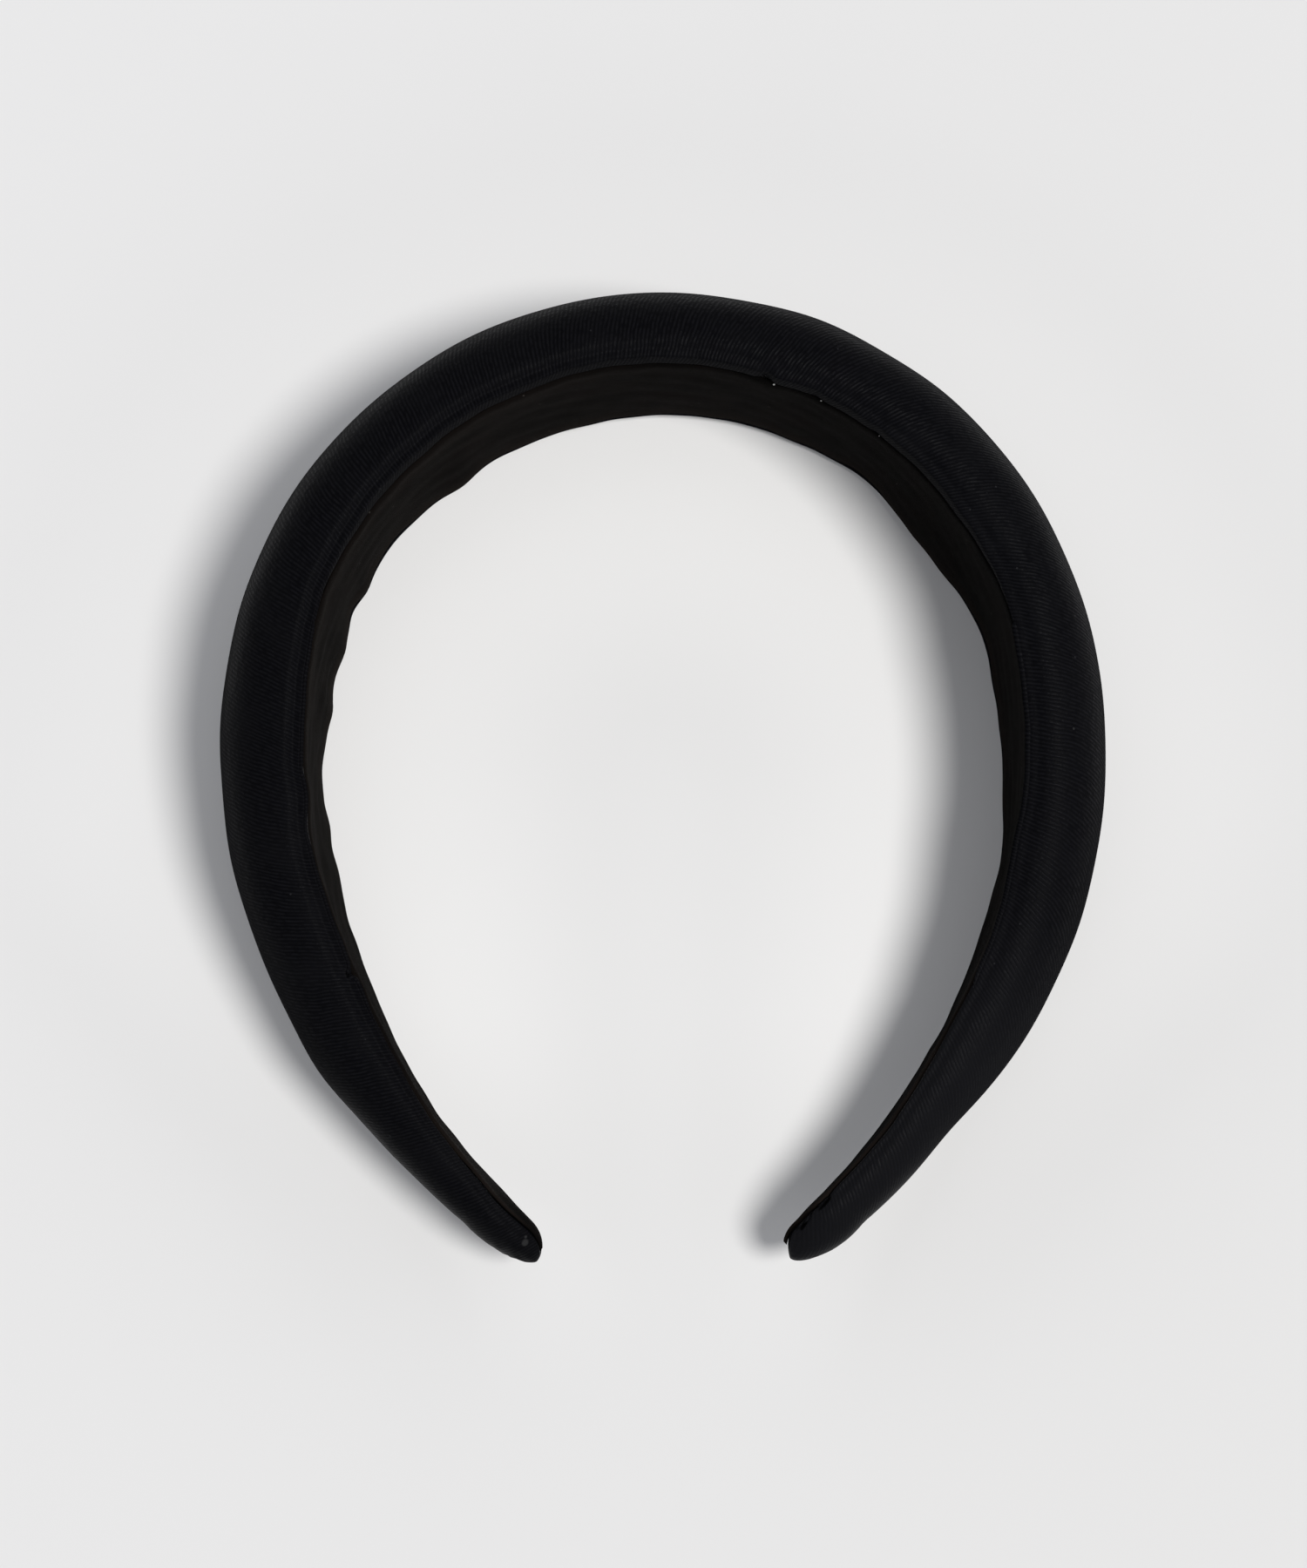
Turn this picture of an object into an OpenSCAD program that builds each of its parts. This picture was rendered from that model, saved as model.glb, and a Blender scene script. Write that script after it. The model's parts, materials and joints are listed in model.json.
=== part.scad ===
// Padded satin headband: a springy bent former, foam padding, a satin cover and a velvet lining.
// The band lies on its side: X is across the head, +Y points to the crown and Z is the band's width.
// Each layer is one strip on the real thing. Here it is cut at the crown, where the band flexes open.

/* [Head opening] */
// Inner radius over the crown, where the band grips the head
crown_r = 59; // [54:0.5:64]
// Turn from the middle of the crown to the start of an arm, in degrees
crown_deg = 79; // [72:1:84]
// Inner radius of each arm, beside the ear
arm_r = 90; // [80:1:105]
// Turn of each arm, in degrees
arm_deg = 36; // [30:1:40]
// Inner radius of each tip, behind the ear
tip_r = 144; // [120:1:180]
// Turn of each tip, in degrees
tip_deg = 21; // [17:1:24]

/* [Padded band] */
// Width of the band over the crown
band_w = 37; // [30:0.5:44]
// Width of the band at the tips
tip_w = 15; // [13:0.5:20]
// Length along the inner face, from the crown, at which the band starts to narrow
narrow_from = 75; // [60:1:90]
// Thickness of the padded band over the crown, from the head to the top of the pad
pad_t = 15.5; // [12:0.5:19]
// Thickness of the band at the tips
tip_t = 6.8; // [6.2:0.1:9]
// Length along the inner face, from the crown, at which the band starts to thin
thin_from = 82; // [60:1:100]
// Height of the straight side wall below the dome
side_h = 3.9; // [3.8:0.1:4.5]
// Radius of the rolled edge beside the lining
roll_r = 1.2; // [0.8:0.1:1.4]
// Length of the folded nose of cloth that closes each tip
nose_len = 7; // [5:0.5:10]

/* [Layers] */
// Thickness of the velvet lining
lining_t = 0.8; // [0.5:0.1:1.2]
// Strip of cover left bare on each side of the lining
lining_inset = 1.7; // [1.3:0.1:3]
// Length by which the lining stops short of the tip
lining_short = 2.5; // [1.5:0.5:5]
// Thickness of the satin cover
cover_t = 0.6; // [0.4:0.05:0.7]
// Width of the cover's hem that is turned under the lining
hem_w = 5; // [3:0.5:6]
// Thickness of the plastic former
core_t = 1.8; // [1.2:0.1:1.9]
// Distance from the band's edge to the former's edge
core_inset = 1.7; // [1.5:0.1:3]
// Thickness of the tape that holds the foam on the former
tape_t = 0.2; // [0.1:0.05:0.3]
// Distance from the band's edge to the tape's edge
tape_inset = 3; // [2:0.5:5]

/* [Fits] */
// Clearance between one layer and the next
layer_gap = 0.05; // [0.04:0.01:0.1]
// Clearance between the foam and the cover around it
foam_gap = 0.1; // [0.05:0.05:0.3]
// Gap at the crown between the right half and the left half
flex_gap = 0.3; // [0.2:0.05:0.6]

/* [Hidden] */
$fn = 96;
NARROWING = 1.3;             // 1 narrows in a straight line, more keeps the width for longer
THINNING = 2.2;              // the same for the thickness
DOME = 2.2;                  // 2 is an ellipse, more is a fuller dome
DOME_STEPS = 16;             // facets across the dome
ROLL_STEPS = 3;              // facets round the rolled edge
BODY_STEPS = 40;             // stations from the crown to the nose
NOSE_STEPS = 6;              // stations along the nose
NOSE_TURN = 78;              // how far round the nose closes, in degrees
LAP = 0.05;                  // each arc runs back into the one before it by this turn, in degrees

// Depths, measured outward from the face of the lining
hem_n = lining_t + layer_gap;
core_n = hem_n + cover_t + layer_gap;
tape_n = core_n + core_t + layer_gap;
foam_n = tape_n + tape_t + layer_gap;
nose_n = (hem_n + tip_t) / 2;

// Lengths along the inner face
crown_len = crown_r * crown_deg * PI / 180;
arm_len = arm_r * arm_deg * PI / 180;
tip_len = tip_r * tip_deg * PI / 180;
half_len = crown_len + arm_len + tip_len;
nose_s = half_len - nose_len;
filling_s = nose_s - foam_gap;
lining_s = half_len - lining_short;

// Centres of the three arcs of the right half
arm_c = (crown_r - arm_r) * outward(crown_deg);
tip_c = arm_c + (arm_r - tip_r) * outward(crown_deg + arm_deg);

// The band is centred front to back and stands on its lower edge
top_y = crown_r + pad_t;
low_y = min([for (k = [0 : NOSE_STEPS]) for (p = nose_ring(k)) at(nose_station(k), p[1])[1]]);
origin_y = (top_y + low_y) / 2;
reach = crown_r + arm_r;

// ---- the line of the band ----

// Unit vector away from the head, after the band has turned by a from the crown
function outward(a) = [sin(a), cos(a)];

function turn(s) = s < crown_len ? s / crown_r * 180 / PI
    : s < crown_len + arm_len ? crown_deg + (s - crown_len) / arm_r * 180 / PI
    : crown_deg + arm_deg + (s - crown_len - arm_len) / tip_r * 180 / PI;

// Point at length s along the inner face and depth n
function at(s, n) = s < crown_len ? (crown_r + n) * outward(turn(s))
    : s < crown_len + arm_len ? arm_c + (arm_r + n) * outward(turn(s))
    : tip_c + (tip_r + n) * outward(turn(s));

function clamp01(x) = max(0, min(1, x));
function taper(s, from, power) = pow(clamp01((s - from) / (half_len - from)), power);
function half_width(s) = (band_w + (tip_w - band_w) * taper(s, narrow_from, NARROWING)) / 2;
function thickness(s) = pad_t + (tip_t - pad_t) * taper(s, thin_from, THINNING);

// ---- cross-sections, as [across the band, depth] ----

function signed_power(x, p) = sign(x) * pow(abs(x), p);

function dome(w, side, top) = [for (k = [0 : DOME_STEPS]) let (a = 180 * k / DOME_STEPS)
    [-w * signed_power(cos(a), 2 / DOME), side + (top - side) * sin(a)]];

function roll(w, base, r, sgn) = [for (k = [0 : ROLL_STEPS]) let (a = 90 * k / ROLL_STEPS)
    [sgn * (w - r + r * sin(a)), base + r - r * cos(a)]];

function reversed(list) = [for (k = [len(list) - 1 : -1 : 0]) list[k]];

// The same loop of points, begun at its middle: a flat cap fans out from the top of the dome
function from_middle(list) = let (n = len(list), m = floor(n / 2)) [for (k = [0 : n - 1]) list[(k + m) % n]];

// One face of the cover, from the edge of one hem round the dome to the edge of the other
function wrap(w, hem, base, r, side, top) = concat(
    [[-hem, base]], roll(w, base, r, -1), dome(w, side, top), reversed(roll(w, base, r, 1)), [[hem, base]]);

function hem_edge(s) = half_width(s) - hem_w;
function cover_outside(s) = wrap(half_width(s), hem_edge(s), hem_n, roll_r, side_h, thickness(s));
function cover_inside(s) = wrap(half_width(s) - cover_t, hem_edge(s), hem_n + cover_t,
    roll_r - cover_t, side_h, thickness(s) - cover_t);
function cover_ring(s) = concat(cover_outside(s), reversed(cover_inside(s)));

function foam_w(s) = half_width(s) - cover_t - foam_gap;
function foam_ring(s) = concat([[-foam_w(s), foam_n]],
    dome(foam_w(s), side_h, thickness(s) - cover_t - foam_gap), [[foam_w(s), foam_n]]);

// The nose shrinks the last full section towards the middle of the tip
function nose_station(k) = nose_s + nose_len * sin(NOSE_TURN * k / NOSE_STEPS);
function nose_ring(k) = let (f = cos(NOSE_TURN * k / NOSE_STEPS))
    [for (p = cover_outside(nose_station(k))) [p[0] * f, nose_n + (p[1] - nose_n) * f]];

// ---- solids ----

// A section point in space: the first station lies flat on the cut at the crown
function lift(s, p) = s == 0 ? [flex_gap / 2, crown_r + p[1], p[0]] : [at(s, p[1])[0], at(s, p[1])[1], p[0]];

function band_faces(rings, size, first, stride) = [for (i = [0 : rings - 1]) for (j = [0 : size - 1])
    let (a = first + i * stride, b = a + stride, k = (j + 1) % size)
    each [[a + j, b + j, b + k], [a + j, b + k, a + k]]];

// The foam pad of one half, from the cut at the crown to the start of the nose
module foam_sweep() {
    size = len(foam_ring(0));
    points = [for (i = [0 : BODY_STEPS]) let (s = filling_s * i / BODY_STEPS)
        for (p = foam_ring(s)) lift(s, p)];
    near = [for (j = [0 : size - 1]) j];
    far = [for (j = [size - 1 : -1 : 0]) BODY_STEPS * size + j];
    polyhedron(points, concat([near], band_faces(BODY_STEPS, size, 0, size), [far]));
}

// The cover of one half: a sleeve open under the lining, closed by a solid nose of folded cloth
module cover_sweep() {
    outer = len(cover_outside(0));
    size = len(cover_ring(0));
    sleeve = [for (i = [0 : BODY_STEPS]) let (s = nose_s * i / BODY_STEPS)
        for (p = cover_ring(s)) lift(s, p)];
    nose = [for (k = [0 : NOSE_STEPS]) for (p = nose_ring(k)) lift(nose_station(k), p)];
    last = BODY_STEPS * size;
    start = len(sleeve) - outer;
    near = [for (j = [0 : outer - 2]) [j, j + 1, size - 2 - j, size - 1 - j]];
    slot = [last, last + size - 1, last + outer, last + outer - 1];
    wall = from_middle([for (j = [size - 1 : -1 : outer]) last + j]);
    far = from_middle([for (j = [outer - 1 : -1 : 0]) start + NOSE_STEPS * outer + j]);
    points = concat(sleeve, [for (j = [outer : len(nose) - 1]) nose[j]]);
    join = [for (j = [0 : outer - 1]) let (k = (j + 1) % outer, b = len(sleeve))
        each [[last + j, b + j, b + k], [last + j, b + k, last + k]]];
    polyhedron(points, concat(near, band_faces(BODY_STEPS, size, 0, size), [slot, wall], join,
        band_faces(NOSE_STEPS - 1, outer, len(sleeve), outer), [far]));
}

// Ring sector on one of the three arcs, between two depths
module sector(centre, r, from, angle, n0, n1) {
    translate(centre)
        rotate([0, 0, 90 - from - angle])
            rotate_extrude(angle = angle + LAP)
                translate([r + n0, -band_w / 2])
                    square([n1 - n0, band_w]);
}

// Side view of a strip: full width over the crown, narrowing to a rounded end at length end
module outline(inset, n0, end, rounding) {
    steps = 24;
    edge = [for (k = [0 : steps]) let (s = narrow_from + (end - narrow_from) * k / steps,
        u = clamp01((s - end + rounding) / rounding))
        [at(s, n0)[1], (half_width(s) - inset) * sqrt(1 - 0.8 * u * u)]];
    upper = concat([[top_y, band_w / 2 - inset]], edge);
    translate([flex_gap / 2, 0, 0])
        rotate([90, 0, 90])
            linear_extrude(height = reach)
                polygon(concat(upper, [for (p = reversed(upper)) [p[0], -p[1]]]));
}

// A thin bent strip that follows the band between two depths
module strip(n0, n1, inset, end, rounding) {
    intersection() {
        union() {
            sector([0, 0], crown_r, 0, crown_deg, n0, n1);
            sector(arm_c, arm_r, crown_deg, arm_deg, n0, n1);
            sector(tip_c, tip_r, crown_deg + arm_deg, tip_deg, n0, n1);
        }
        outline(inset, n0, end, rounding);
    }
}

// Moves a half to its place: the right half as drawn, the left half mirrored
module seat(left = false) {
    translate([0, -origin_y, band_w / 2])
        mirror([left ? 1 : 0, 0, 0])
            children();
}

// ---- pieces ----

module core(left) {
    color("dimgray") seat(left) strip(core_n, core_n + core_t, core_inset, filling_s, core_inset * 3);
}

module foam_tape(left) {
    color("khaki") seat(left) strip(tape_n, tape_n + tape_t, tape_inset, filling_s - tape_inset, tape_inset);
}

module foam(left) {
    color("lightyellow") seat(left) foam_sweep();
}

module cover(left) {
    color("midnightblue") seat(left) cover_sweep();
}

module lining_glue(left) {
    color("wheat") seat(left) strip(hem_n, hem_n + cover_t, hem_w + foam_gap, filling_s, hem_w / 2);
}

module lining(left) {
    color("saddlebrown") seat(left) strip(0, lining_t, lining_inset, lining_s, tip_w / 2);
}

core(false);  // core_right
core(true);  // core_left
foam_tape(false);  // foam_tape_right
foam_tape(true);  // foam_tape_left
foam(false);  // foam_right
foam(true);  // foam_left
cover(false);  // cover_right
cover(true);  // cover_left
lining_glue(false);  // lining_glue_right
lining_glue(true);  // lining_glue_left
lining(false);  // lining_right
lining(true);  // lining_left
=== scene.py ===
import json
import math

import bmesh
import bpy
import numpy as np
from mathutils import Euler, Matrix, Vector


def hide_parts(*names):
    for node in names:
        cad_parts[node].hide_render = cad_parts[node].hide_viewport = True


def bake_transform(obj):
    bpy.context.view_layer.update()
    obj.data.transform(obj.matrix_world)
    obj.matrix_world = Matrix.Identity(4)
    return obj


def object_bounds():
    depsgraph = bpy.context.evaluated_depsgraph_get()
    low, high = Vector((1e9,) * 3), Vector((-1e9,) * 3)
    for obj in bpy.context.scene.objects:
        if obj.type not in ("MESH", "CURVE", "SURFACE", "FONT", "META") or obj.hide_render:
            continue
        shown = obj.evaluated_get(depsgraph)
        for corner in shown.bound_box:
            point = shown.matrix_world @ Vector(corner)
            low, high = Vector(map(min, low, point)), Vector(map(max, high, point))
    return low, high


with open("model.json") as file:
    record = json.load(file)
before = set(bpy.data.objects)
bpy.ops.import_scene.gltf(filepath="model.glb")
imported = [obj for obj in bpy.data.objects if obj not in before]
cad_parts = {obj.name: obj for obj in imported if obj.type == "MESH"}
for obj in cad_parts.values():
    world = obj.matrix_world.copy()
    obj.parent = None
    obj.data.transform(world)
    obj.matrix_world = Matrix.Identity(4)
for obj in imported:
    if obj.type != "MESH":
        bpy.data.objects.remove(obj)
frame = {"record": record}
size_before = [list(corner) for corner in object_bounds()]

MM = 0.001

# ---------------------------------------------------------------- the band, as in part.scad, in mm
clamp = {m["name"]: m for m in frame["record"]["mounts"]}["head_clamp"]
HEAD = np.array(clamp["pos_m"]) / MM  # centre of the crown's arc
CROWN_R = clamp["dims"]["r_mm"]
CROWN_DEG, ARM_R, ARM_DEG, TIP_R, TIP_DEG = 79, 90, 36, 144, 21
cad_low, cad_high = (np.array(corner) / MM for corner in size_before)
BAND_W = cad_high[2] - cad_low[2]
PAD_T = cad_high[1] - HEAD[1] - CROWN_R
TIP_W, TIP_T = 15, 6.8
NARROW_FROM, THIN_FROM = 75, 82
NARROWING, THINNING, DOME = 1.3, 2.2, 2.2
NOSE_LEN = 7
LINING_T, LINING_INSET = 0.8, 1.7
COVER_T, HEM_W = 0.6, 5
CLOTH_T = 0.45  # the cloth as it is shown, thinner than the CAD's
FOAM_SET_IN = 0.95  # from the cloth's outer face, over the dome
CORE_T, CORE_INSET = 1.8, 1.7
TAPE_T, TAPE_INSET = 0.2, 3
GAP = 0.05

CROWN_LEN = CROWN_R * math.radians(CROWN_DEG)
ARM_LEN = ARM_R * math.radians(ARM_DEG)
HALF_LEN = CROWN_LEN + ARM_LEN + TIP_R * math.radians(TIP_DEG)
HEM_N = LINING_T + GAP
CORE_N = HEM_N + COVER_T + GAP
TAPE_N = CORE_N + CORE_T + GAP
FOAM_N = TAPE_N + TAPE_T + GAP

# ---------------------------------------------------------------- wear
# Each bump is (length from the crown, width, height) in mm.
# The lower edge, where the lining bunched as it was glued round the bend: + is towards the head
PUCKERS = [
    (-131, 34, 1.0),
    (-117, 9, 0.75),
    (-109, 6, 0.4),
    (-99, 9, -0.6),
    (-88, 6, 0.75),
    (-77, 6, 0.8),
    (-70, 5, -0.6),
    (-65, 4, 0.4),
    (-56, 14, -0.7),
    (-39, 7, 1.15),
    (-17, 30, 0.6),
    (37, 12, -0.6),
    (51, 12, 1.4),
    (60, 10, 1.2),
    (74, 12, -0.6),
    (92, 34, -0.3),
    (114, 16, -0.45),
    (145, 26, -0.35),
]
# The same for the upper edge, where lining and cloth meet
UPPER = [
    (-184, 16, -0.8),
    (-137, 40, 1.05),
    (-107, 9, 0.6),
    (-94, 22, 0.38),
    (-71, 10, -0.25),
    (-44, 6, 0.2),
    (-24, 10, 0.3),
    (18, 8, 0.5),
    (34, 24, 0.1),
    (58, 14, 0.15),
    (115, 16, 0.9),
    (150, 60, 0.65),
    (186, 24, 0.3),
]
# Where the whole band lies a little further out
SWAY = [(114, 18, 0.45), (-57, 20, 0.15), (74, 14, 0.15)]
# Where the pad is fuller or slacker than its even taper
FULLNESS = [
    (-184, 22, 1.3),
    (-148, 16, 0.8),
    (-92, 44, 0.3),
    (72, 16, -0.5),
    (114, 18, -0.45),
    (161, 16, -1.0),
    (184, 20, 1.2),
]
# Where the cloth is pulled back from the lining at the upper seam
SNAGS = [
    (-137, 1.7, 1.2),
    (-112.5, 5, 0.35),
    (-103, 2, 0.25),
    (17.2, 2.2, 1.1),
    (26.2, 2.4, 0.4),
    (38, 2, 0.3),
    (182.0, 2.6, 1.3),
    (186.6, 3.0, 1.5),
]
# Beads of adhesive squeezed out of that seam: (length from the crown, width)
BEADS = [(18.8, 0.21), (27.2, 0.15), (38.6, 0.11)]

# The tips have curled in by this much, and the pad has its least depth from SLIM_BY on
TIP_CURL = 1.1
SLIM_BY = 180

# How each end closes, in mm: how far past the inner face's length it reaches, how deep in the section its
# point lies, the length and power of its outer slope, those of its inner slope, and how crumpled it is
ENDS = {1: (1.8, 3.4, 11.2, 0.56, 4.5, 0.9, 0.05), -1: (2.0, 3.9, 12.5, 0.62, 5.0, 0.5, 0.24)}


def smooth(x):
    """0 below 0 and 1 above 1, with a smooth step between."""
    x = np.clip(x, 0, 1)
    return x * x * (3 - 2 * x)


def bumps(s, table):
    """The sum of smooth bumps along the band, each as (centre, width, height)."""
    return sum(height * np.exp(-(((s - centre) / (0.5 * width)) ** 2)) for centre, width, height in table)


def ripple(seed, s, t, shortest, longest, count=9):
    """Smooth random waves of height about 1 over two lengths, with wavelengths from shortest to longest."""
    rng = np.random.default_rng(seed)
    total = 0
    for _ in range(count):
        k = 2 * math.pi / np.exp(rng.uniform(math.log(shortest), math.log(longest)))
        a = rng.uniform(0, 2 * math.pi)
        total = total + np.sin(k * (np.cos(a) * s + np.sin(a) * t) + rng.uniform(0, 2 * math.pi))
    return total / math.sqrt(count)


def outward(deg):
    """Unit vectors away from an arc's centre, deg round from the crown towards the right."""
    a = np.radians(deg)
    return np.stack([np.sin(a), np.cos(a)], -1)


ARM_C = (CROWN_R - ARM_R) * outward(CROWN_DEG)
TIP_C = ARM_C + (ARM_R - TIP_R) * outward(CROWN_DEG + ARM_DEG)


def place(s, n, z):
    """Points in metres at length s along the inner face, depth n from it and height z from the middle.

    The length is measured from the crown, and is negative on the left.
    """
    s, n, z = np.broadcast_arrays(s, n, z)
    a = np.abs(s)
    n = n + bumps(s, SWAY) - TIP_CURL * smooth((a - HALF_LEN + 28) / 26)
    on_crown = a < CROWN_LEN
    on_arm = ~on_crown & (a < CROWN_LEN + ARM_LEN)
    crown_deg = np.degrees(a / CROWN_R)
    arm_deg = CROWN_DEG + np.degrees((a - CROWN_LEN) / ARM_R)
    tip_deg = CROWN_DEG + ARM_DEG + np.degrees((a - CROWN_LEN - ARM_LEN) / TIP_R)
    deg = np.where(on_crown, crown_deg, np.where(on_arm, arm_deg, tip_deg))
    radius = np.where(on_crown, CROWN_R, np.where(on_arm, ARM_R, TIP_R))
    centre = np.where(on_crown[..., None], 0.0, np.where(on_arm[..., None], ARM_C, TIP_C))
    p = centre + (radius + n)[..., None] * outward(deg)
    x = np.where(s < 0, -p[..., 0], p[..., 0])
    return np.stack([x + HEAD[0], p[..., 1] + HEAD[1], z + HEAD[2]], -1) * MM


def half_width(s):
    taper = np.clip((np.abs(s) - NARROW_FROM) / (HALF_LEN - NARROW_FROM), 0, 1) ** NARROWING
    return (BAND_W + (TIP_W - BAND_W) * taper) / 2


def thickness(s):
    """Depth of the pad."""
    taper = np.clip((np.abs(s) - THIN_FROM) / (SLIM_BY - THIN_FROM), 0, 1) ** THINNING
    return PAD_T + (TIP_T - PAD_T) * taper + bumps(s, FULLNESS) - 0.1


def pucker(s):
    """How far the lower edge bulges towards the head."""
    return (bumps(s, PUCKERS) + 0.1 * ripple(3, s, 0, 5, 16)) * smooth((HALF_LEN - 4 - np.abs(s)) / 12)


def upper_bulge(s):
    """The same for the upper edge."""
    return bumps(s, UPPER) + 0.05 * ripple(4, s, 0, 5, 16)


def bare(s):
    """Width of cloth left bare above the lining, on the inner face."""
    return (1.8 + 3.1 * smooth((80 - np.abs(s)) / 28)) * np.clip(half_width(s) / 12, 0.6, 1)


# ---------------------------------------------------------------- meshes
def spline(points, per):
    """Catmull-Rom curves through points[:, k], with per steps between neighbours."""
    first, last = 2 * points[:, :1] - points[:, 1:2], 2 * points[:, -1:] - points[:, -2:-1]
    knots = np.concatenate([first, points, last], 1)
    segments = points.shape[1] - 1
    a, b, c, d = (knots[:, k : k + segments, None] for k in range(4))
    t = (np.arange(per) / per)[None, None, :, None]
    curve = b + 0.5 * t * (c - a + t * (2 * a - 5 * b + 4 * c - d + t * (3 * b - a - 3 * c + d)))
    return np.concatenate([curve.reshape(len(points), -1, points.shape[2]), points[:, -1:]], 1)


def make_piece(name, verts, faces, uv):
    mesh = bpy.data.meshes.new(name)
    mesh.from_pydata(verts.tolist(), [], faces)
    mesh.uv_layers.new(name="band").data.foreach_set("uv", np.asarray(uv, np.float32).ravel())
    mesh.polygons.foreach_set("use_smooth", np.ones(len(mesh.polygons), bool))
    mesh.update()
    piece = bpy.data.objects.new(name, mesh)
    bpy.context.scene.collection.objects.link(piece)
    return piece


def tube(name, s, rings, extra=()):
    """A closed piece swept through rings[i, k] at lengths s[i].

    The extra closed lumps, each as (points, faces, length), are joined on. The UV map holds the length along
    the band and the distance round the ring, in metres. That distance is 0 a quarter of the way round, which
    is the middle of the ring's first half.
    """
    count, size = rings.shape[:2]
    closed = np.concatenate([rings, rings[:, :1]], 1)
    girth = np.cumsum(np.linalg.norm(np.diff(closed, axis=1), axis=2), 1)
    girth = np.concatenate([np.zeros((count, 1)), girth], 1) - girth[:, -1:] / 4
    i, k = np.meshgrid(np.arange(count - 1), np.arange(size), indexing="ij")
    near, far, wrap = i * size, (i + 1) * size, (k + 1) % size
    faces = np.stack([near + k, far + k, far + wrap, near + wrap], -1).reshape(-1, 4).tolist()
    u = np.stack([s[i], s[i + 1], s[i + 1], s[i]], -1) * MM
    v = np.stack([girth[i, k], girth[i + 1, k], girth[i + 1, k + 1], girth[i, k + 1]], -1)
    uv = [np.stack([u, v], -1).reshape(-1, 2)]
    verts = [rings.reshape(-1, 3), rings[:1].mean(1), rings[-1:].mean(1)]
    for end, base in enumerate((0, (count - 1) * size)):
        hub = count * size + end
        for j in range(size):
            a, b = base + j, base + (j + 1) % size
            faces.append([hub, a, b] if end else [hub, b, a])
        uv.append(np.tile([[s[-end] * MM, 0.0]], (3 * size, 1)))
    total = count * size + 2
    for points, lump_faces, at in extra:
        faces += [[total + index for index in face] for face in lump_faces]
        uv.append(np.zeros((sum(map(len, lump_faces)), 2)))
        verts.append(points)
        total += len(points)
    return make_piece(name, np.concatenate(verts), faces, np.concatenate(uv))


def stations(left, right, step, nose=0.0):
    """Lengths from -left to right, closer together over the last nose at each end."""
    body = np.linspace(nose - left, right - nose, int((left + right - 2 * nose) / step))
    turn = np.sin(np.linspace(0, 0.5 * math.pi, 22))[1:]
    return np.concatenate([nose * (1 - turn[::-1]) - left, body, right - nose * (1 - turn)])


# ---------------------------------------------------------------- cover
def end_of(s):
    """For each length: how far it is from that side's end, and how that end closes."""
    reach, *rest = (np.where(s < 0, left, right) for right, left in zip(ENDS[1], ENDS[-1]))
    return np.maximum(HALF_LEN + reach - np.abs(s), 0), *rest


def closing(distance, slope, power):
    """The share of the section left at that distance from the end: all past the slope, hardly any at 0."""
    return np.maximum(1 - np.clip(1 - distance / slope, 0, 1) ** 2, 1e-3) ** power


def cloth_edge(s, q, inset, face, crease, snag):
    """One edge of the cloth: from its hem under the lining, round the rolled edge and up onto the pad."""
    rows = [
        (HEM_N + 0.12, inset + 5.2),
        (HEM_N + 0.12 + 0.5 * snag, inset + 1.5),
        (HEM_N + 0.05 + 0.6 * snag, inset + 0.35),
        (0.5 * (HEM_N + face) + 0.7 * snag, inset - 0.2),
        (face + 0.8 * snag, inset - 0.75),
        (face - 0.02 + 0.8 * snag, 0.5 * inset + 0.12),
        (face + 0.12 + 0.7 * snag, 1.0 + 0.4 * snag),
        (0.6 + 0.4 * face + 0.5 * snag, 0.68 + 0.45 * snag),
        (1.15 + 0.2 * snag, 0.56 + 0.3 * crease + 0.3 * snag),
        (1.8, 0.46 + 0.6 * crease),
        (2.4, 0.25 + 0.3 * crease),
        (3.1, 0.07),
        (4.0, 0.0),
    ]
    n, drop = (np.stack(np.broadcast_arrays(*column, s)[:-1], 1) for column in zip(*rows))
    n = HEM_N + (n - HEM_N) * q[:, None]
    z = half_width(s)[:, None] - drop * q[:, None]
    shut = smooth(end_of(s)[0] / 7 - 0.9)  # at the ends the hems meet under the lining
    z[:, 0] = 0.03 + (z[:, 0] - 0.03) * shut
    z[:, 1] = np.maximum(z[:, 1], z[:, 0] + 0.02)
    return n, z


def cover_section(s):
    """The cloth's outer face at each length: from its lower hem round the dome to its upper hem."""
    w, top = half_width(s), thickness(s)
    q = np.clip((top - 1.5) / (PAD_T - 4), 0.6, 1)
    # The crease behind the rolled edge is deepest on the left. The roll stands out least on the right arm.
    crease = 0.08 + 0.4 * smooth((12 - s) / 50) * smooth((s + 178) / 30)
    face = 0.1 + 0.3 * smooth((40 - s) / 80) + 0.2 * smooth((s - 118) / 20)
    low_n, low_z = cloth_edge(s, q, LINING_INSET, 0.5, 0.1, 0 * s)
    high_n, high_z = cloth_edge(s, q, bare(s) / q, face, crease, bumps(s, SNAGS))
    low = spline(np.stack([low_n, -low_z], -1), 3)
    high = spline(np.stack([high_n, high_z], -1), 4)
    a = np.linspace(0, math.pi, 49)[1:-1]
    start = high_n[:, -1:]
    dome_n = start + (top[:, None] - start) * np.sin(a)
    dome_z = -w[:, None] * np.sign(np.cos(a)) * np.abs(np.cos(a)) ** (2 / DOME)
    return np.concatenate([low, np.stack([dome_n, dome_z], -1), high[:, ::-1]], 1)


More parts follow.
